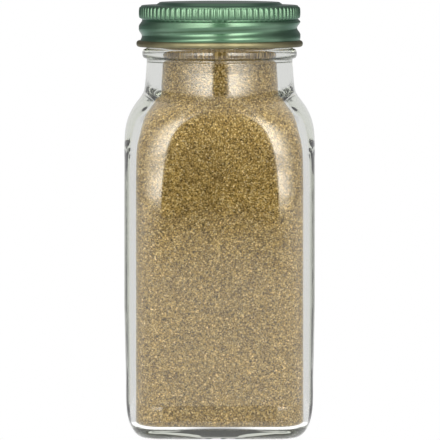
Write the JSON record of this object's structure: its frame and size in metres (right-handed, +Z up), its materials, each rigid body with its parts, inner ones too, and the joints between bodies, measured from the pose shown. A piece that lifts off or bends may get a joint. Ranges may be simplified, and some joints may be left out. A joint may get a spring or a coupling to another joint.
{
  "type": "spice jar",
  "caption": "Square clear glass spice jar with a round screw neck, filled with ground sage and closed by a knurled green steel screw lid with a sealing disc.",
  "frame": {"origin": "centre of the jar's footprint, on the surface it stands on", "axes": "+Z up along the jar's axis; -Y is the front panel that the picture shows; +X is to its right"},
  "size_m": [0.0488, 0.0488, 0.111],
  "materials": {
    "clear_glass": "clear moulded flint glass, polished outside",
    "ground_sage": "matt fluffy ground dried leaf with light and dark flecks",
    "liner_foam": "white foamed plastic disc",
    "green_enamel": "translucent green lacquer over bright tinplate, satin, with a bare gold-lacquered curl at the bottom edge"
  },
  "bodies": {
    "jar": {"jar": "clear_glass", "ground_sage": "ground_sage"},
    "liner": {"lid_liner": "liner_foam"},
    "lid": {"lid": "green_enamel"}
  },
  "joints": [
    {"name": "lid_lift", "type": "slide", "parent": "jar", "child": "liner", "axis": [0, 0, 1], "range_m": [0, 0.0043]},
    {"name": "lid_turn", "type": "hinge", "parent": "liner", "child": "lid", "pos_m": [0, 0, 0.105], "axis": [0, 0, 1], "range_deg": [0, 360]}
  ],
  "couplings": [
    {"joint": "lid_lift", "follows": "lid_turn", "m_per_rad": 0.00067376}
  ]
}
